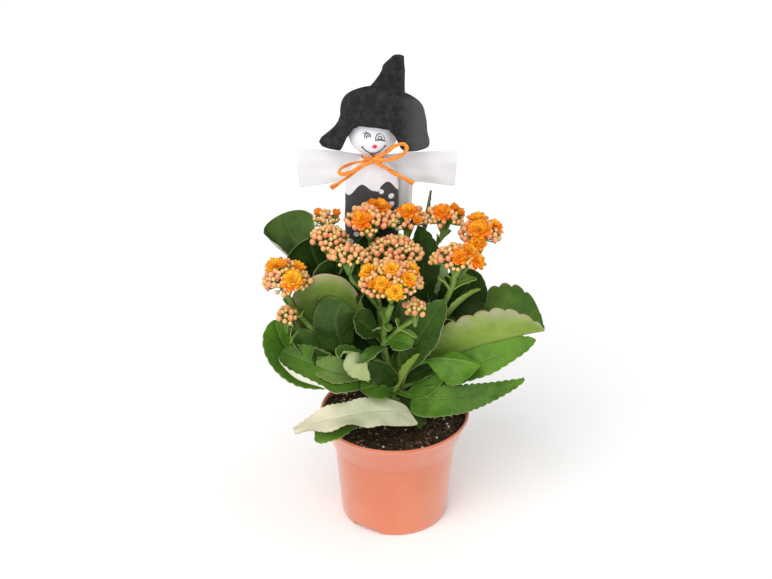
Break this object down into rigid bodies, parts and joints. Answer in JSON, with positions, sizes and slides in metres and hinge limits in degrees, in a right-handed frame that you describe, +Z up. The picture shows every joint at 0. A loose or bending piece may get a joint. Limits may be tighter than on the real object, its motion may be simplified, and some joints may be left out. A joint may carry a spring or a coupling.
{
  "type": "potted kalanchoe",
  "caption": "Double-flowered kalanchoe with fleshy scalloped leaves and dense bud clusters in a flared nursery pot, with a cloth witch doll on a stick.",
  "frame": {"origin": "centre of the pot's flat standing face", "axes": "+Z up from the standing face, -Y towards the viewer of the doll's face, +X to that viewer's right"},
  "size_m": [0.2192, 0.1475, 0.384],
  "materials": {
    "pot_plastic": "satin thin plastic, pale terracotta pink",
    "potting_soil": "dark crumbly potting soil",
    "stem": "smooth fleshy green stem",
    "leaf": "waxy fleshy green leaf, paler below",
    "bud": "smooth salmon-pink buds on green stalks",
    "bloom": "orange double blooms among salmon-pink buds",
    "stick_wood": "plain round wooden stick",
    "doll_cloth": "thin white cloth",
    "bow_ribbon": "orange paper raffia",
    "hat_cloth": "coarse charcoal woven cloth"
  },
  "bodies": {
    "root": {"pot": "pot_plastic", "soil": "potting_soil", "stems": "stem", "doll_stick": "stick_wood", "doll_head": "doll_cloth", "doll_body": "doll_cloth", "doll_sleeves": "doll_cloth", "doll_bow": "bow_ribbon", "doll_hat": "hat_cloth", "head_back_left": "bud", "head_left": "bud", "head_left_low": "bud", "head_middle": "bud", "head_far_left_low": "bud", "head_small": "bud", "head_top": "bloom", "head_top_right": "bloom", "head_front": "bloom", "head_far_left": "bloom", "head_right": "bloom", "head_far_right": "bloom", "head_right_low": "bloom", "leaf_tall_left": "leaf", "leaf_dark_left": "leaf", "leaf_arched": "leaf", "leaf_front_round": "leaf", "leaf_node_left": "leaf", "leaf_node_right": "leaf", "leaf_left_outer": "leaf", "leaf_left_inner": "leaf", "leaf_left_low": "leaf", "leaf_centre_low": "leaf", "leaf_centre_bent": "leaf", "leaf_centre_curled": "leaf", "leaf_over_rim": "leaf", "leaf_over_rim_under": "leaf", "leaf_right_boat": "leaf", "leaf_right_under": "leaf", "leaf_right_glossy": "leaf", "leaf_right_rim": "leaf", "leaf_centre_edge": "leaf", "leaf_dark_upright": "leaf", "leaf_behind_right": "leaf", "leaf_narrow_right": "leaf", "leaf_dark_middle": "leaf", "leaf_spire": "leaf", "leaf_base_left": "leaf", "leaf_base_right": "leaf", "leaf_inner_left": "leaf", "leaf_inner_centre": "leaf", "leaf_inner_low": "leaf", "leaf_back_right": "leaf", "leaf_back_left": "leaf", "leaf_back_tall": "leaf", "leaf_back_low": "leaf", "leaf_side_low": "leaf", "leaf_back_upright": "leaf", "leaf_back_middle": "leaf", "leaf_back_slanted": "leaf"}
  },
  "joints": []
}
